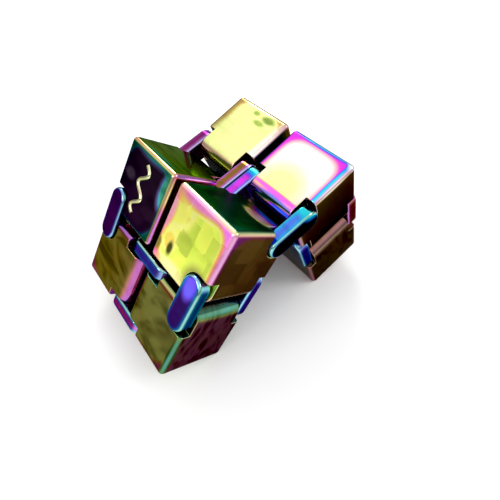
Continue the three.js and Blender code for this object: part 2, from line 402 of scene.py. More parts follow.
def wave_point(step):
    """A point of the wave's middle line, and the direction across the rod there."""
    along = step / WAVE_STEPS
    turn = 2 * math.pi * WAVE_PERIODS * along
    point = Vector((0, WAVE_SWING * math.sin(turn), WAVE_LENGTH * (along - 0.5)))
    slope = WAVE_SWING * math.cos(turn) * 2 * math.pi * WAVE_PERIODS / WAVE_LENGTH
    return point, Vector((0, 1, -slope)).normalized()


bpy.ops.mesh.primitive_circle_add(vertices=16, radius=WAVE_RADIUS, fill_type="NGON")
wave = bpy.context.object
wave.name = "wave"
point, across = wave_point(0)
for vertex in wave.data.vertices:
    vertex.co = point + across * vertex.co.y + X * vertex.co.x
bpy.ops.object.mode_set(mode="EDIT")
bpy.ops.mesh.select_mode(type="FACE")
bpy.ops.mesh.select_all(action="SELECT")
for step in range(1, WAVE_STEPS + 1):
    bpy.ops.mesh.extrude_region_move()
    last_point, last_across = point, across
    point, across = wave_point(step)
    mesh = bmesh.from_edit_mesh(wave.data)
    for vertex in (v for v in mesh.verts if v.select):
        offset = vertex.co - last_point
        vertex.co = point + across * offset.dot(last_across) + X * offset.x
    bmesh.update_edit_mesh(wave.data)
bpy.ops.mesh.select_all(action="SELECT")
bpy.ops.mesh.normals_make_consistent(inside=False)
bpy.ops.object.mode_set(mode="OBJECT")
wave.data.transform(Matrix.Translation((WAVE_RADIUS - WAVE_HEIGHT - HALF, 0, 0)))
report(wave)

# %% [markdown]
# ## Copy and place
#
# Each block and link gets its own copy of the mesh.  A mirrored block has its faces turned back
# outwards.  Smooth shading comes with normals weighted by face size, so the flat faces stay dead
# flat and only the rounded edges bend the reflections.
#
# The finish needs to know which way each bit of surface faces on the part itself, whatever the pose.
# That direction is kept on the mesh as the attribute `facing`.

# %% Make a placed copy
def placed_copy(master, name, axes, centre, body, extras=()):
    """A copy of a modelled part, turned by axes to its centre in the closed cube and then stood up."""
    piece = bpy.data.objects.new(name, master.data.copy())
    piece.data.name = name
    bpy.context.scene.collection.objects.link(piece)
    piece.data.transform(axes)
    if axes.determinant() < 0:
        piece.data.flip_normals()
    if extras:
        work_on(piece)
        for extra in extras:
            extra.select_set(True)
        bpy.ops.object.join()
    work_on(piece)
    bpy.ops.object.shade_smooth_by_angle(angle=math.radians(38))
    modify(piece, "WEIGHTED_NORMAL", weight=100, keep_sharp=True)
    piece.data.transform(STANCE[body] @ Matrix.Translation(centre))
    piece.data.transform(Matrix.Scale(MM, 4))
    return piece


def keep_facing(piece, local):
    """Store the direction that each corner faces in the part's own axes."""
    back = local.to_3x3().inverted()
    facing = piece.data.attributes.new("facing", "FLOAT_VECTOR", "CORNER")
    for corner, normal in zip(facing.data, piece.data.corner_normals):
        corner.vector = back @ normal.vector


for piece in (block_master, wave):
    piece.data.materials.append(bpy.data.materials.new(piece.name))

pieces = {}
local_frames = {}
for block, grid in BLOCKS.items():
    body = half_of(block)
    centre = Vector(grid) * PITCH / 2
    extras = (wave,) if block == "left_far_upper" else ()
    name = block + "_body"
    pieces[name] = placed_copy(block_master, name, block_axes(block), centre, body, extras)
    local_frames[name] = STANCE[body] @ Matrix.Translation(centre)
    keep_facing(pieces[name], local_frames[name])
    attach(pieces[name], body)
    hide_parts(block + "_block")
print(len(pieces), "blocks placed")

# %% Place the links
block_centre = {name: Vector(grid) * PITCH / 2 for name, grid in BLOCKS.items()}
for hinge, (first, second, toward, outside, ends) in HINGES.items():
    body = half_of(hinge)
    middle = (block_centre[first] + block_centre[second]) / 2 + outside * PIVOT_OFFSET
    along = toward.cross(outside)
    for end, side in zip(ends, (1, -1)):
        out = along * side
        axes = Matrix((toward, out.cross(toward), out)).transposed().to_4x4()
        centre = middle + out * (HALF + LINK_PROUD - LINK_THICKNESS / 2)
        name = f"{hinge}_{end}_plate"
        pieces[name] = placed_copy(link_master, name, axes, centre, body)
        local_frames[name] = STANCE[body] @ Matrix.Translation(centre) @ axes
        keep_facing(pieces[name], local_frames[name])
        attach(pieces[name], body)
        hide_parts(f"{hinge}_{end}_link")
for master in (block_master, link_master):
    bpy.data.objects.remove(master)
print(len(pieces), "pieces placed")

# %% [markdown]
# ## The rainbow film
#
# The metal is coated in a vacuum with a film so thin that light reflected from its top and bottom
# interferes.  As the film thickens, its colour runs through gold, rose, magenta, violet, blue, cyan,
# green and back.  One number, the phase, says where on that run a spot lies.
#
# Three small node groups are shared by every finish: the film's colour with its painted shade, a
# blend of values by the way the surface faces, and the wear that all the parts have.

# %% Node helpers
def new_group(name, inputs, outputs):
    """A shader node group with its input and output nodes."""
    tree = bpy.data.node_groups.new(name, "ShaderNodeTree")
    for socket, kind in inputs:
        tree.interface.new_socket(socket, in_out="INPUT", socket_type=kind)
    for socket, kind in outputs:
        tree.interface.new_socket(socket, in_out="OUTPUT", socket_type=kind)
    return tree, tree.nodes.new("NodeGroupInput"), tree.nodes.new("NodeGroupOutput")


def plug(tree, value, socket):
    """Link an output to a socket, or set the socket to a plain value."""
    if isinstance(value, bpy.types.NodeSocket):
        tree.links.new(value, socket)
    else:
        socket.default_value = value


def calc(tree, operation, *values):
    """A Math node."""
    node = tree.nodes.new("ShaderNodeMath")
    node.operation = operation
    for value, socket in zip(values, node.inputs):
        plug(tree, value, socket)
    return node.outputs[0]


def vector_calc(tree, operation, *values):
    """A Vector Math node."""
    node = tree.nodes.new("ShaderNodeVectorMath")
    node.operation = operation
    for value, socket in zip(values, node.inputs):
        plug(tree, value, socket)
    return node.outputs["Value" if operation == "DOT_PRODUCT" else "Vector"]


def scaled(tree, vector, factor):
    """A vector times a number."""
    node = tree.nodes.new("ShaderNodeVectorMath")
    node.operation = "SCALE"
    plug(tree, vector, node.inputs[0])
    plug(tree, factor, node.inputs["Scale"])
    return node.outputs["Vector"]


def mixed(tree, kind, factor, first, second):
    """A Mix node of kind FLOAT, VECTOR or RGBA."""
    node = tree.nodes.new("ShaderNodeMix")
    node.data_type = kind
    names = {"FLOAT": ("A_Float", "B_Float"), "VECTOR": ("A_Vector", "B_Vector"),
             "RGBA": ("A_Color", "B_Color")}[kind]
    sockets = {socket.identifier: socket for socket in node.inputs}
    plug(tree, factor, sockets["Factor_Float"])
    plug(tree, first, sockets[names[0]])
    plug(tree, second, sockets[names[1]])
    result = {"FLOAT": "Result_Float", "VECTOR": "Result_Vector", "RGBA": "Result_Color"}[kind]
    return {socket.identifier: socket for socket in node.outputs}[result]


def ranged(tree, value, low, high, to_low=0.0, to_high=1.0, smooth=True):
    """A Map Range node."""
    node = tree.nodes.new("ShaderNodeMapRange")
    node.interpolation_type = "SMOOTHSTEP" if smooth else "LINEAR"
    for number, socket in zip((value, low, high, to_low, to_high), node.inputs):
        plug(tree, number, socket)
    return node.outputs[0]


def parts_of(tree, vector):
    """The three numbers of a vector."""
    node = tree.nodes.new("ShaderNodeSeparateXYZ")
    plug(tree, vector, node.inputs[0])
    return node.outputs[0], node.outputs[1], node.outputs[2]


def noise(tree, vector, scale, detail=3.0, roughness=0.5, distortion=0.0):
    """A Noise texture's value."""
    node = tree.nodes.new("ShaderNodeTexNoise")
    plug(tree, vector, node.inputs["Vector"])
    node.inputs["Scale"].default_value = scale
    node.inputs["Detail"].default_value = detail
    node.inputs["Roughness"].default_value = roughness
    node.inputs["Distortion"].default_value = distortion
    return node.outputs[0]


# %% The film's colour, darkened by the painted shade
FILM = (
    (0.00, (0.95, 0.62, 0.10)),
    (0.08, (0.95, 0.36, 0.10)),
    (0.17, (0.95, 0.16, 0.32)),
    (0.26, (0.90, 0.05, 0.80)),
    (0.35, (0.40, 0.04, 0.85)),
    (0.45, (0.06, 0.12, 0.95)),
    (0.54, (0.02, 0.42, 0.95)),
    (0.62, (0.03, 0.80, 0.85)),
    (0.71, (0.03, 0.50, 0.22)),
    (0.80, (0.25, 0.60, 0.05)),
    (0.89, (0.70, 0.85, 0.10)),
    (0.96, (0.97, 0.93, 0.22)),
    (1.00, (0.95, 0.62, 0.10)),
)


def make_film_and_shade_group():
    """Phase to colour, then paler, part film and part painted highlight, and darker by the painted
    shade.
    """
    tree, ins, outs = new_group(
        "film_colour_and_shade",
        (("Phase", "NodeSocketFloat"), ("Pale", "NodeSocketFloat"), ("Shade", "NodeSocketFloat")),
        (("Color", "NodeSocketColor"),),
    )
    ramp = tree.nodes.new("ShaderNodeValToRGB")
    stops = ramp.color_ramp.elements
    stops[0].position, stops[1].position = FILM[0][0], FILM[-1][0]
    for place, _ in FILM[1:-1]:
        stops.new(place)
    for stop, (_, colour) in zip(stops, FILM):
        stop.color = (*colour, 1)
    plug(tree, calc(tree, "WRAP", ins.outputs["Phase"], 1.0, 0.0), ramp.inputs[0])
    pale = mixed(tree, "RGBA", ins.outputs["Pale"], ramp.outputs[0], (1.0, 0.99, 0.95, 1))
    # Painted shade: the film colour is scaled by how bright the face's reflection is painted.
    shaded = scaled(tree, pale, ins.outputs["Shade"])
    tree.links.new(shaded, outs.inputs["Color"])
    return tree


film_and_shade_group = make_film_and_shade_group()
print("film colour ramp with", len(FILM), "stops")

# %% [markdown]
# ### Values by the way the surface faces
#
# Each face of a block has its own film thickness, and its reflection is painted into its colour, so
# each face gets three numbers: phase, paleness and shade.  The shade is the painted brightness of the
# face's reflection, and the paleness is part film colour and part painted highlight.  The group weighs
# them by the squares of the facing direction, so on a rounded edge they run smoothly from one face's
# numbers to the next.

# %% Blend by facing
SIDES = ("+X", "-X", "+Y", "-Y", "+Z", "-Z")


def make_facing_group():
    """Weigh six vectors by the facing direction."""
    tree, ins, outs = new_group(
        "by_facing",
        [("Facing", "NodeSocketVector")] + [(side, "NodeSocketVector") for side in SIDES],
        (("Values", "NodeSocketVector"), ("Roundness", "NodeSocketFloat")),
    )
    total, fourth = None, None
    for axis, part in enumerate(parts_of(tree, ins.outputs["Facing"])):
        plus = calc(tree, "GREATER_THAN", part, 0.0)
        positive, negative = SIDES[2 * axis], SIDES[2 * axis + 1]
        side = mixed(tree, "VECTOR", plus, ins.outputs[negative], ins.outputs[positive])
        square = calc(tree, "MULTIPLY", part, part)
        share = scaled(tree, side, square)
        total = share if total is None else vector_calc(tree, "ADD", total, share)
        power = calc(tree, "MULTIPLY", square, square)
        fourth = power if fourth is None else calc(tree, "ADD", fourth, power)
    tree.links.new(total, outs.inputs["Values"])
    tree.links.new(calc(tree, "SUBTRACT", 1.0, fourth), outs.inputs["Roundness"])
    return tree


facing_group = make_facing_group()
print("facing blend over", len(SIDES), "sides")

# %% [markdown]
# ### How far from the rim
#
# The film is thinner towards the rims, which draws rings of colour round each face.  On a block the
# rings are squares with rounded corners: a fourth-power distance does that.  On a link the distance
# is measured from the oblong outline.

# %% Distance from the rim
def make_block_rim_group():
    """Distance from the rim of a block's face, in millimetres."""
    tree, ins, outs = new_group(
        "block_rim", (("Place", "NodeSocketVector"),), (("Distance", "NodeSocketFloat"),)
    )
    powers = [calc(tree, "POWER", calc(tree, "ABSOLUTE", part), 4.0)
              for part in parts_of(tree, ins.outputs["Place"])]
    total = calc(tree, "ADD", calc(tree, "ADD", powers[0], powers[1]), powers[2])
    largest = calc(tree, "MAXIMUM", calc(tree, "MAXIMUM", powers[0], powers[1]), powers[2])
    ring = calc(tree, "POWER", calc(tree, "SUBTRACT", total, largest), 0.25)
    tree.links.new(calc(tree, "SUBTRACT", HALF, ring), outs.inputs["Distance"])
    return tree


def make_link_rim_group():
    """Distance from the rim of a link, in millimetres."""
    tree, ins, outs = new_group(
        "link_rim", (("Place", "NodeSocketVector"),), (("Distance", "NodeSocketFloat"),)
    )
    along, across, up = parts_of(tree, ins.outputs["Place"])
    past_pivot = calc(tree, "SUBTRACT", calc(tree, "ABSOLUTE", along), PIVOT_SPACING / 2)
    beyond = calc(tree, "MAXIMUM", past_pivot, 0.0)
    reach = calc(tree, "SQRT", calc(tree, "ADD", calc(tree, "MULTIPLY", beyond, beyond),
                                    calc(tree, "MULTIPLY", across, across)))
    side = calc(tree, "SUBTRACT", LINK_HALF_WIDTH, reach)
    top = calc(tree, "SUBTRACT", LINK_THICKNESS / 2, calc(tree, "ABSOLUTE", up))
    tree.links.new(calc(tree, "MAXIMUM", side, top), outs.inputs["Distance"])
    return tree


rim_groups = {"block": make_block_rim_group(), "link": make_link_rim_group()}
print("rim distance for", ", ".join(rim_groups))

# %% [markdown]
# ### Soft spots
#
# Soft spots are of two kinds: pools of thicker film, and painted reflections, dark patches for dark
# things in the room and bright patches for bright ones.  A soft spot blends its own three numbers
# into the face's, inside an ellipsoid.

# %% Soft spot group
def make_spot_group():
    """Blend other values in near a place."""
    tree, ins, outs = new_group(
        "soft_spot",
        (("Values", "NodeSocketVector"), ("Place", "NodeSocketVector"), ("Centre", "NodeSocketVector"),
         ("Reach", "NodeSocketVector"), ("Spot", "NodeSocketVector")),
        (("Values", "NodeSocketVector"),),
    )
    offset = vector_calc(tree, "SUBTRACT", ins.outputs["Place"], ins.outputs["Centre"])
    offset = vector_calc(tree, "DIVIDE", offset, ins.outputs["Reach"])
    away = calc(tree, "SQRT", vector_calc(tree, "DOT_PRODUCT", offset, offset))
    inside = ranged(tree, away, 1.0, 0.35)
    blend = mixed(tree, "VECTOR", inside, ins.outputs["Values"], ins.outputs["Spot"])
    tree.links.new(blend, outs.inputs["Values"])
    return tree


spot_group = make_spot_group()
print("soft spot group with", len(spot_group.nodes), "nodes")

# %% [markdown]
# ### Wear
#
# The coat is polished, but handled: hairline scratches that run every way, faint smudges from
# fingers, and a few specks of dust.  The group gives a roughness and a height for the bump.

# %% Wear group
def make_wear_group():
    """Smudges, hairlines and dust, as roughness and height."""
    tree, ins, outs = new_group(
        "wear", (("Place", "NodeSocketVector"), ("Polish", "NodeSocketFloat")),
        (("Roughness", "NodeSocketFloat"), ("Height", "NodeSocketFloat")),
    )
    place = ins.outputs["Place"]
    smudge = ranged(tree, noise(tree, place, 0.22, 5.0, 0.6, 0.8), 0.48, 0.72)
    hairlines = None
    for turn, stretch in ((0.6, (9.0, 0.25, 0.9)), (2.0, (0.3, 8.0, 0.7)), (-0.9, (0.8, 0.4, 10.0))):
        node = tree.nodes.new("ShaderNodeMapping")
        node.inputs["Rotation"].default_value = (turn, turn * 0.7, turn * 1.3)
        node.inputs["Scale"].default_value = stretch
        plug(tree, place, node.inputs["Vector"])
        line = ranged(tree, noise(tree, node.outputs[0], 1.6, 2.0), 0.66, 0.72)
        hairlines = line if hairlines is None else calc(tree, "MAXIMUM", hairlines, line)
    dust = ranged(tree, noise(tree, place, 5.5, 1.0), 0.77, 0.8)
    rough = calc(tree, "ADD", ins.outputs["Polish"], calc(tree, "MULTIPLY", smudge, 0.09))
    rough = calc(tree, "ADD", rough, calc(tree, "MULTIPLY", hairlines, 0.07))
    rough = calc(tree, "ADD", rough, calc(tree, "MULTIPLY", dust, 0.3))
    height = calc(tree, "SUBTRACT", dust, calc(tree, "MULTIPLY", hairlines, 0.4))
    tree.links.new(rough, outs.inputs["Roughness"])
    tree.links.new(height, outs.inputs["Height"])
    return tree


wear_group = make_wear_group()
print("wear group with", len(wear_group.nodes), "nodes")

# %% [markdown]
# ## Putting the film and its painted light on a part
# #
# A finish is a table of numbers: for each side of the part, the phase, paleness and shade in the
# middle of that side and at its rim.  The shade is painted light: it sets how bright that side's
# reflection is painted.  The material reads Object coordinates and turns them into the
# part's own axes in millimetres, so every copy carries its pattern along.
#
# Slow noise lets the film drift like oil on water, and a second, stretched one paints soft dark
# streaks: a painted reflection, as of a polished face that mirrors a room.
#
# The other settings of a finish:
#
# - `band` is how far the rim's colours reach in, and `wobble` how unevenly.
# - `drift` and `streak` are the strength of the two noises, and `seed` moves both; the streaks are
#   painted reflection.
# - `glint` paints a highlight on the rounded edges, paler and brighter, and shifts their phase.
# - `panes` paints a window's reflection: the brightness varies in square patches, like the panes of a
#   window.
# - `polish` is the roughness of the clean coat.
# - `edge` is how bright the coat stays where it is seen almost edge on.

# %% Build a film finish
def use_group(tree, group, **values):
    """Place a node group and feed its inputs."""
    node = tree.nodes.new("ShaderNodeGroup")
    node.node_tree = group
    for name, value in values.items():
        plug(tree, value, node.inputs[name])
    return node


def film_and_painted_light_material(name, kind, local, middle, rim, band=3.0, drift=0.05, streak=0.25,
                  glint=(0.3, 0.6, 0.1), polish=0.06, seed=0.0, wobble=0.3, spots=(), panes=0.0,
                  edge=0.35):
    """The rainbow film of one part, with its reflections painted in as shade, streaks, panes and
    glints.
    """
    material = bpy.data.materials.new(name)
    material.use_nodes = True
    tree = material.node_tree
    shader = tree.nodes["Principled BSDF"]
    shader.inputs["Metallic"].default_value = 1.0
    shader.inputs["Specular Tint"].default_value = (edge, edge, edge, 1)

    coords = tree.nodes.new("ShaderNodeTexCoord")
    mapping = tree.nodes.new("ShaderNodeMapping")
    mapping.vector_type = "TEXTURE"
    mapping.inputs["Location"].default_value = local.translation * MM
    mapping.inputs["Rotation"].default_value = local.to_euler()
    mapping.inputs["Scale"].default_value = (MM, MM, MM)
    tree.links.new(coords.outputs["Object"], mapping.inputs["Vector"])
    place = mapping.outputs[0]
    facing = tree.nodes.new("ShaderNodeAttribute")
    facing.attribute_name = "facing"

    # Each side's phase, paleness and shade; the shade paints how bright that side's reflection is.
    blends = []
    for sides in (middle, rim):
        blend = use_group(tree, facing_group, Facing=facing.outputs["Vector"])
        for side in SIDES:
            blend.inputs[side].default_value = sides.get(side, sides["other"])
        blends.append(blend)
    distance = use_group(tree, rim_groups[kind], Place=place).outputs[0]
    waver = calc(tree, "SUBTRACT", noise(tree, place, 0.25, 2.0), 0.5)
    distance = calc(tree, "ADD", distance, calc(tree, "MULTIPLY", waver, band * wobble * 2))
    at_rim = ranged(tree, distance, band, band * 0.12)
    values = mixed(tree, "VECTOR", at_rim, blends[0].outputs[0], blends[1].outputs[0])
    for spot_centre, reach, spot_values in spots:
        spot = use_group(tree, spot_group, Values=values, Place=place, Centre=spot_centre, Reach=reach,
                         Spot=spot_values)
        values = spot.outputs[0]
    phase, pale, shade = parts_of(tree, values)

    moved = vector_calc(tree, "ADD", place, (seed * 13.7, seed * 7.1, seed * 3.3))
    slow = calc(tree, "SUBTRACT", noise(tree, moved, 0.11, 3.0, 0.55, 0.6), 0.5)
    phase = calc(tree, "ADD", phase, calc(tree, "MULTIPLY", slow, drift * 2))

    # Painted reflection: stretched noise paints soft dark streaks into the shade.
    stretch = tree.nodes.new("ShaderNodeMapping")
    stretch.inputs["Rotation"].default_value = (0.5 + seed, 0.3, 0.9 + seed)
    stretch.inputs["Scale"].default_value = (0.5, 0.12, 0.25)
    tree.links.new(moved, stretch.inputs["Vector"])
    painted_streaks = ranged(tree, noise(tree, stretch.outputs[0], 0.6, 2.5, 0.45, 1.5), 0.40, 0.68)
    streak_shade = calc(tree, "SUBTRACT", 1.0, calc(tree, "MULTIPLY", painted_streaks, streak))
    shade = calc(tree, "MULTIPLY", shade, streak_shade)

    # Painted reflection of a window: square patches painted brighter and darker.
    cells = tree.nodes.new("ShaderNodeTexVoronoi")
    cells.distance = "CHEBYCHEV"
    cells.inputs["Scale"].default_value = 0.22
    cells.inputs["Randomness"].default_value = 0.55
    tree.links.new(moved, cells.inputs["Vector"])
    painted_pane = calc(tree, "SUBTRACT", parts_of(tree, cells.outputs["Color"])[0], 0.5)
    shade = calc(tree, "MULTIPLY", shade, calc(tree, "ADD", 1.0, calc(tree, "MULTIPLY", painted_pane, panes)))

    # Painted highlight: the rounded edges are painted paler and brighter, and their film phase shifts.
    glint_pale, glint_shade, glint_phase = glint
    rounded = ranged(tree, blends[0].outputs["Roundness"], 0.05, 0.5)
    phase = calc(tree, "ADD", phase, calc(tree, "MULTIPLY", rounded, glint_phase))
    pale = mixed(tree, "FLOAT", calc(tree, "MULTIPLY", rounded, glint_pale), pale, 1.0)
    shade = mixed(tree, "FLOAT", calc(tree, "MULTIPLY", rounded, glint_shade), shade, 1.0)
    film = use_group(tree, film_and_shade_group, Phase=phase, Pale=pale, Shade=shade)
    tree.links.new(film.outputs["Color"], shader.inputs["Base Color"])

    wear = use_group(tree, wear_group, Place=place, Polish=polish)
    tree.links.new(wear.outputs["Roughness"], shader.inputs["Roughness"])
    bump = tree.nodes.new("ShaderNodeBump")
    bump.inputs["Strength"].default_value = 0.12
    bump.inputs["Distance"].default_value = 0.02 * MM
    tree.links.new(wear.outputs["Height"], bump.inputs["Height"])
    tree.links.new(bump.outputs[0], shader.inputs["Normal"])
    return material


# %% [markdown]
# ## The blocks' film and painted light
# #
# No two blocks came out of the coating chamber alike.  The shade numbers paint each face's reflection:
# some faces are painted almost black, some painted as bright as the brightest part of the room, and
# the rims run through the whole rainbow.

# %% Film and painted light of each block
# Many spots here are painted reflections: dark ones for dark things in the room, bright ones for the
# light.
BLOCK_FILM_AND_PAINTED_LIGHT = {
    "left_far_upper": dict(
        middle={"-X": (0.30, 0.35, 0.03), "+Z": (0.82, 0.05, 0.24), "+X": (0.80, 0.0, 0.04),
                "+Y": (0.90, 0.1, 0.5), "-Y": (1.12, 0.1, 0.6), "other": (0.3, 0, 0.3)},
        rim={"-X": (0.70, 0.0, 0.13), "+Z": (0.80, 0.05, 0.26), "+X": (0.86, 0.1, 0.5),
             "+Y": (1.25, 0.1, 0.7), "-Y": (1.12, 0.1, 0.6), "other": (0.66, 0.1, 0.5)},
        band=1.7, seed=1.0, slot="plum", glint=(0.22, 0.55, 0.35), polish=0.10, streak=0.4,
        spots=(((-HALF, -1, 9.8), (3, 11, 3.0), (0.69, 0.05, 0.6)),
               ((-HALF, -8.6, 4.5), (3, 3.0, 6.0), (0.70, 0.06, 0.85)),
               ((-HALF, 5.5, 1.5), (3, 3, 2.0), (0.30, 0.6, 0.09)))),
    "left_near_upper": dict(
        middle={"-X": (0.89, 0.0, 1.15), "+Z": (0.72, 0.05, 0.10), "-Y": (1.04, 0.1, 0.08),
                "+X": (1.50, 0.0, 0.8), "+Y": (1.2, 0.1, 0.4), "other": (1.2, 0, 0.4)},
        rim={"-X": (1.24, 0.10, 1.2), "+Z": (0.70, 0.05, 0.12), "-Y": (1.26, 0.1, 0.12),
             "+X": (1.52, 0.0, 0.8), "+Y": (1.2, 0.1, 0.4), "other": (1.2, 0.1, 0.5)},
        band=2.1, seed=2.0, slot="lime", streak=0.1, panes=0.6, wobble=0.12,
        glint=(0.35, 0.7, 0.0), polish=0.3,
        spots=(((-HALF, 6.5, 6.0), (1, 7.5, 7.5), (1.03, 0.0, 1.7)),
               ((-HALF, 1.5, 9.0), (1, 9, 3.0), (1.21, 0.10, 1.4)),
               ((-HALF, 8.8, 2.5), (1, 2.6, 8), (1.16, 0.10, 1.4)),
               ((-HALF, 1.0, -8.4), (1, 9, 3.2), (0.96, 0.2, 1.1)),
               ((-HALF, 5.4, -2.8), (1, 3.4, 3.8), (1.01, 0.0, 1.2)),
               ((-HALF, 4.4, -4.2), (1, 1.4, 2.6), (0.96, 0.0, 0.08)),
               ((-HALF, 8.4, -5.4), (1, 1.6, 2.6), (0.98, 0.0, 0.35)),
               ((-HALF, -5.5, -5.5), (1, 4.6, 5), (0.93, 0.0, 0.36)),
               ((6.8, -3.2, HALF), (4.5, 7.5, 3), (1.50, 0.0, 1.2)),
               ((2.9, -3.2, HALF), (2.6, 5.5, 1), (1.12, 0.1, 1.6)))),
    "left_far_lower": dict(
        middle={"-X": (0.98, 0.04, 0.14), "-Y": (1.22, 0.1, 0.3), "+Y": (0.8, 0.1, 0.5),
                "other": (0.97, 0, 0.3)},
        rim={"-X": (1.18, 0.10, 0.24), "-Y": (1.25, 0.1, 0.4), "+Y": (0.6, 0.1, 0.6),
             "other": (1.3, 0.1, 0.5)},
        band=1.9, seed=3.0, slot="olive", streak=0.6, glint=(0.15, 0.35, 0.1)),
    "left_near_lower": dict(
        middle={"-X": (0.96, 0.03, 0.14), "-Y": (1.17, 0.3, 0.12), "+Z": (0.70, 0.05, 0.30),
                "+Y": (1.22, 0.1, 0.4), "other": (0.95, 0, 0.3)},
        rim={"-X": (1.19, 0.03, 0.18), "-Y": (1.20, 0.3, 0.14), "+Z": (0.67, 0.15, 0.45),
             "+Y": (1.22, 0.1, 0.4), "other": (0.72, 0.1, 0.5)},
        band=1.9, seed=4.0, slot="olive", streak=0.6, glint=(0.15, 0.35, 0.0),
        spots=(((-9.3, -9.3, -3), (1.5, 1.5, 12), (0.70, 0.05, 0.08)),
               ((0, -8.4, 8.4), (16, 2.4, 2.4), (0.69, 0.05, 0.18)))),
    "right_far_upper": dict(
        middle={"+Z": (0.93, 0.24, 1.1), "-X": (0.82, 0.0, 0.04), "+X": (0.85, 0.1, 0.6),
                "+Y": (1.2, 0.1, 0.5), "-Y": (1.0, 0.0, 0.05), "other": (0.9, 0.1, 0.4)},
        rim={"+Z": (1.02, 0.16, 0.62), "-X": (0.84, 0.0, 0.06), "+X": (0.6, 0.1, 0.6),
             "+Y": (0.6, 0.1, 0.7), "-Y": (1.05, 0.0, 0.06), "other": (1.3, 0.1, 0.5)},
        band=1.6, seed=5.0, slot="straw", streak=0.1, panes=0.12, glint=(0.25, 0.4, 0.15), edge=0.05,
        polish=0.18,
        spots=(((2, 9.5, HALF), (14, 4, 1.2), (1.0, 0.1, 0.42)),
               ((7.0, -4.2, HALF), (1.5, 3.2, 1.2), (0.86, 0.1, 0.5)),
               ((5.0, -2.4, HALF), (1.1, 2.6, 1.2), (0.88, 0.1, 0.65)),
               ((7.2, 0.6, HALF), (1.0, 1.6, 1.2), (0.87, 0.1, 0.7)),
               ((-2, -8.6, HALF), (14, 1.8, 1.2), (1.0, 0.8, 1.1)))),
    "right_near_upper": dict(
        middle={"+Z": (1.10, 0.97, 1.2), "-Y": (0.99, 0.35, 0.08), "+X": (1.2, 0.15, 0.6),
                "-X": (1.46, 0.0, 0.04), "other": (1.3, 0.1, 0.4)},
        rim={"+Z": (1.28, -0.3, 1.1), "-Y": (1.02, 0.35, 0.10), "+X": (1.6, 0.15, 0.7),
             "-X": (1.46, 0.0, 0.04), "other": (1.7, 0.1, 0.5)},
        band=3.1, drift=0.015, streak=0.05, wobble=0.03, seed=6.0, slot="pearl", edge=0.2,
        glint=(0.3, 0.7, 0.0),
        spots=(((-4.8, 0.5, HALF), (8.6, 9.5, 1.0), (0.93, 0.28, 1.15)),
               ((-6.6, -1.0, HALF), (0.9, 16.0, 1.5), (1.25, 0.1, 1.1)),
               ((-8.0, -1.0, 8.8), (1.5, 9.0, 1.5), (1.48, 0.0, 1.1)),
               ((9.1, -1.0, HALF), (1.2, 14.0, 1.5), (1.56, 0.0, 1.0)),
               ((-1.0, 9.2, HALF), (14.0, 0.9, 1.5), (1.42, 0.0, 0.8)),
               ((1.0, -8.6, HALF), (12.0, 0.8, 1.5), (1.60, 0.0, 1.1)),
               ((9.8, -9.8, HALF), (3.2, 2.8, 1.5), (1.62, 1.0, 1.2)),
               ((2.5, -9.8, HALF), (9.5, 1.2, 1.5), (1.1, 0.95, 1.2)))),
    "right_far_lower": dict(
        middle={"+X": (0.97, 0.1, 0.5), "+Y": (0.66, 0.05, 0.4), "other": (0.98, 0.0, 0.2)},
        rim={"+X": (1.25, 0.1, 0.6), "+Y": (0.9, 0.1, 0.6), "other": (1.2, 0.1, 0.5)},
        band=3.5, seed=7.0, slot="umber"),
    "right_near_lower": dict(
        middle={"-Y": (1.04, 0.35, 0.07), "+Z": (1.08, 0.0, 0.16), "+X": (0.72, 0.1, 0.5),
                "other": (0.98, 0.0, 0.2)},
        rim={"-Y": (1.12, 0.35, 0.08), "+Z": (1.12, 0.0, 0.18), "+X": (1.05, 0.1, 0.6),
             "other": (1.15, 0.1, 0.5)},
        band=2.0, seed=8.0, slot="umber", streak=0.4, glint=(0.2, 0.25, 0.05)),
}

for block, film_and_light in BLOCK_FILM_AND_PAINTED_LIGHT.items():
    values = dict(film_and_light)
    slot = values.pop("slot")
    name = block + "_body"
    material = film_and_painted_light_material(block + "_film", "block", local_frames[name], **values)
    pieces[name].material_slots[0].material = material
print(len(BLOCK_FILM_AND_PAINTED_LIGHT), "block finishes")

# %% The wave's light is painted: two sides bright as a highlight, the top between, the others dark as shade
WAVE_PAINTED_LIGHT = {"-X": (0.98, 0.4, 0.55), "-Y": (0.97, 0.6, 1.3), "+Z": (0.97, 0.6, 1.3),
              "other": (0.66, 0.1, 0.02)}
ornament = pieces["left_far_upper_body"]
ornament.material_slots[1].material = film_and_painted_light_material(
    "wave_film", "block", local_frames["left_far_upper_body"], middle=WAVE_PAINTED_LIGHT, rim=WAVE_PAINTED_LIGHT,
    band=1.0, drift=0.25, streak=0.0, glint=(0.0, 0.0, 0.0))
print("ornament has", len(ornament.material_slots), "finishes")
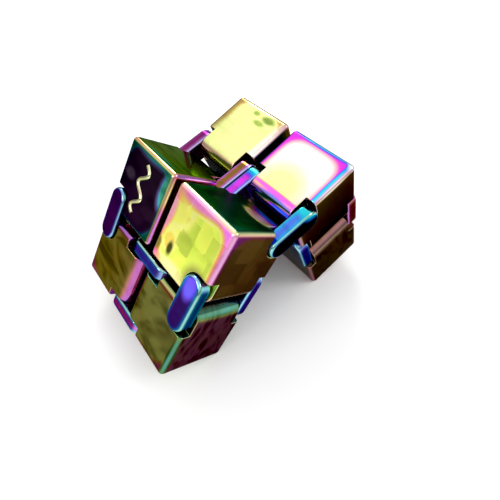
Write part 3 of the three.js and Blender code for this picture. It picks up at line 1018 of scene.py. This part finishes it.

# %% [markdown]
# ## The links' finishes
#
# The links hung on the same racks, nearer the source, so theirs is the blue end of the run: cyan at
# one end, through royal blue, to violet and plum at the other.  +Z is a link's outer face and X runs
# along it.

# %% Film and painted light of each link
# As on the blocks, the shade numbers paint how bright each side's reflection is, and the spots paint
# brighter patches, part film colour and part painted reflection.
PLAIN_LINK = dict(
    middle={"+Z": (0.42, 0.05, 0.3), "other": (0.40, 0.0, 0.2)},
    rim={"+Z": (0.55, 0.1, 0.6), "other": (0.5, 0.1, 0.4)},
    band=1.5, streak=0.2)
LINK_FILM_AND_PAINTED_LIGHT = {
    "left_far_outer": dict(
        PLAIN_LINK,
        middle={"+Z": (0.33, 0.0, 0.07), "other": (0.46, 0.0, 0.10)},
        rim={"+Z": (0.42, 0.05, 0.15), "other": (0.5, 0.1, 0.3)}),
    "left_near_outer": dict(
        PLAIN_LINK,
        middle={"+Z": (0.40, 0.0, 0.10), "other": (0.50, 0.0, 0.15)},
        rim={"+Z": (0.56, 0.05, 0.30), "other": (0.6, 0.1, 0.3)},
        spots=(((-4.8, 0, 1.7), (4.6, 2.6, 3), (0.42, 0.0, 1.0)),)),
    "left_base_upper": dict(
        PLAIN_LINK,
        middle={"+Z": (0.56, 0.0, 0.14), "other": (0.42, 0.0, 0.2)},
        rim={"+Z": (0.66, 0.3, 0.5), "other": (0.5, 0.05, 0.3)}),
    "left_base_lower": dict(
        PLAIN_LINK,
        middle={"+Z": (0.2, 0.1, 0.25), "other": (0.2, 0.0, 0.2)},
        rim={"+Z": (0.26, 0.3, 0.5), "other": (0.6, 0.1, 0.3)}),
    "crest_far_outer": dict(
        PLAIN_LINK,
        middle={"+Z": (0.22, 0.0, 0.3), "other": (0.22, 0.0, 0.22)},
        rim={"+Z": (0.28, 0.2, 0.5), "other": (0.3, 0.3, 0.4)}),
    "crest_far_inner": dict(
        PLAIN_LINK,
        middle={"+Z": (1.02, 0.0, 0.3), "other": (1.03, 0.0, 0.26)},
        rim={"+Z": (1.34, 0.3, 0.8), "other": (1.36, 0.3, 0.6)}),
    "crest_near_inner": dict(
        PLAIN_LINK,
        middle={"+Z": (0.46, 0.0, 0.2), "-Y": (0.28, 0.0, 1.0), "other": (0.36, 0.05, 0.7)},
        rim={"+Z": (0.5, 0.0, 0.1), "-Y": (0.42, 0.1, 0.9), "other": (0.38, 0.1, 0.8)},
        spots=(((6.0, -2.8, 0), (3.8, 3, 4), (0.60, 0.0, 0.9)),)),
    "crest_near_outer": dict(
        PLAIN_LINK,
        middle={"+Z": (0.47, 0.0, 0.02), "other": (0.48, 0.05, 0.9)},
        rim={"+Z": (0.5, 0.0, 0.06), "other": (0.58, 0.0, 0.9)},
        spots=(((5.6, 2.8, 0), (3.6, 3, 4), (0.60, 0.0, 0.9)),)),
    "right_far_outer": dict(
        PLAIN_LINK,
        middle={"+Z": (0.24, 0.0, 0.2), "other": (0.24, 0.0, 0.2)},
        rim={"+Z": (0.3, 0.1, 0.4), "other": (0.3, 0.1, 0.4)}),
    "right_near_outer": dict(
        PLAIN_LINK,
        middle={"+Z": (0.98, 0.0, 0.04), "other": (1.1, 0.0, 0.12)},
        rim={"+Z": (1.1, 0.0, 0.12), "other": (1.2, 0.1, 0.2)}),
}

LINK_SEED_STEP = 0.37
count = 0
for hinge, (_, _, _, _, ends) in HINGES.items():
    for end in ends:
        name = f"{hinge}_{end}_plate"
        values = LINK_FILM_AND_PAINTED_LIGHT.get(f"{hinge}_{end}", PLAIN_LINK)
        count += 1
        material = film_and_painted_light_material(
            f"{hinge}_{end}_film", "link", local_frames[name], seed=count * LINK_SEED_STEP, **values
        )
        pieces[name].data.materials.clear()
        pieces[name].data.materials.append(material)
print(count, "link finishes")

# %% [markdown]
# ## The pins
#
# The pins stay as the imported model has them: plain steel rods that hardly show in the joints.  Fine
# grooves run round them from turning, so the steel is drawn along its length.

# %% Turned steel on the pins
def steel_material():
    """Turned steel with fine rings and a little oil."""
    material = bpy.data.materials.new("turned_steel")
    material.use_nodes = True
    tree = material.node_tree
    shader = tree.nodes["Principled BSDF"]
    shader.inputs["Metallic"].default_value = 1.0
    coords = tree.nodes.new("ShaderNodeTexCoord")
    place = scaled(tree, coords.outputs["Object"], 1 / MM)
    rings = noise(tree, place, 6.0, 3.0, 0.7)
    oil = ranged(tree, noise(tree, place, 0.5, 2.0), 0.4, 0.7)
    colour = mixed(tree, "RGBA", oil, (0.52, 0.53, 0.56, 1), (0.34, 0.33, 0.33, 1))
    tree.links.new(colour, shader.inputs["Base Color"])
    wear = use_group(tree, wear_group, Place=place, Polish=0.24)
    tree.links.new(wear.outputs["Roughness"], shader.inputs["Roughness"])
    bump = tree.nodes.new("ShaderNodeBump")
    bump.inputs["Strength"].default_value = 0.3
    bump.inputs["Distance"].default_value = 0.03 * MM
    tree.links.new(rings, bump.inputs["Height"])
    tree.links.new(bump.outputs[0], shader.inputs["Normal"])
    return material


steel = steel_material()
pins = [node for name, node in frame["nodes"].items() if name.endswith("_axle")]
for pin in pins:
    pin.data.materials.clear()
    pin.data.materials.append(steel)
print(len(pins), "pins in turned steel")

# %% [markdown]
# ## The stage
#
# A pale table and plain soft light.  A mirror shows its surroundings, so the room matters as much as
# the finish: a bright sky of diffused light above, a darker band at eye level, and three softboxes
# whose reflections run along the rounded edges.

# %% Table
TABLE_SIZE = 4.0
TABLE_GAP = 0.0001
bpy.ops.object.select_all(action="DESELECT")
bpy.ops.mesh.primitive_plane_add(size=TABLE_SIZE, location=(0, 0, -TABLE_GAP))
table = bpy.context.object
table.name = "table"
paint = bpy.data.materials.new("table_paint")
paint.use_nodes = True
paint_shader = paint.node_tree.nodes["Principled BSDF"]
paint_shader.inputs["Base Color"].default_value = (0.93, 0.93, 0.93, 1)
paint_shader.inputs["Roughness"].default_value = 0.9
paint_shader.inputs["Specular IOR Level"].default_value = 0.1
table.data.materials.append(paint)
print("table", TABLE_SIZE, "m square")

# %% Room light
world = bpy.data.worlds.new("room")
bpy.context.scene.world = world
world.use_nodes = True
room = world.node_tree
background = room.nodes["Background"]
direction = room.nodes.new("ShaderNodeTexCoord")
height = parts_of(room, direction.outputs["Generated"])[2]
sky = room.nodes.new("ShaderNodeValToRGB")
stops = sky.color_ramp.elements
stops[0].position, stops[0].color = 0.0, (0.80, 0.80, 0.80, 1)
stops[1].position, stops[1].color = 1.0, (1.0, 1.0, 1.0, 1)
for place, level in ((0.05, 0.45), (0.3, 0.5), (0.5, 1.0), (0.7, 1.2)):
    stop = stops.new(place)
    stop.color = (level, level, level, 1)
plug(room, height, sky.inputs[0])
seen = room.nodes.new("ShaderNodeLightPath")
backdrop = mixed(room, "RGBA", seen.outputs["Is Camera Ray"], sky.outputs[0], (1, 1, 1, 1))
room.links.new(backdrop, background.inputs["Color"])
background.inputs["Strength"].default_value = 0.95


def softbox(name, place, aim, size, power):
    """A square softbox that faces a point."""
    light = bpy.data.lights.new(name, "AREA")
    light.shape = "SQUARE"
    light.size = size
    light.energy = power
    lamp = bpy.data.objects.new(name, light)
    bpy.context.scene.collection.objects.link(lamp)
    lamp.location = place
    lamp.rotation_euler = (Vector(aim) - Vector(place)).to_track_quat("-Z", "Y").to_euler()
    return lamp


centre = (0, 0, 0.02)
softbox("softbox_back", (0.25, 0.43, 0.42), centre, 0.22, 1.1)
softbox("softbox_left", (-0.40, 0.05, 0.30), centre, 0.20, 0.7)
softbox("softbox_right", (0.30, -0.30, 0.35), centre, 0.20, 0.6)

# %% [markdown]
# ## The camera
#
# The camera stands close to the toy and looks down on its near left corner through a wide lens, so
# the near blocks loom and the far ones shrink.

# %% Camera
LENS = 23.50
CAMERA_PLACE = Vector((-36.791, -50.646, 85.854)) * MM
CAMERA_LOOK = Vector((0.42109, 0.48054, -0.76926)).normalized()
CAMERA_UPWARD = Vector((0.46862, 0.61089, 0.63813))

camera_data = bpy.data.cameras.new("camera")
camera_data.sensor_width = 36.0
camera_data.lens = LENS
camera_data.clip_start = 0.005
camera_data.clip_end = 20.0
camera = bpy.data.objects.new("camera", camera_data)
bpy.context.scene.collection.objects.link(camera)
right = CAMERA_LOOK.cross(CAMERA_UPWARD).normalized()
up = right.cross(CAMERA_LOOK)
turned = Matrix((right, up, -CAMERA_LOOK)).transposed().to_4x4()
camera.matrix_world = Matrix.Translation(CAMERA_PLACE) @ turned
bpy.context.scene.camera = camera
bpy.context.scene.view_settings.view_transform = "Standard"
print("camera at", [round(v, 4) for v in camera.location])
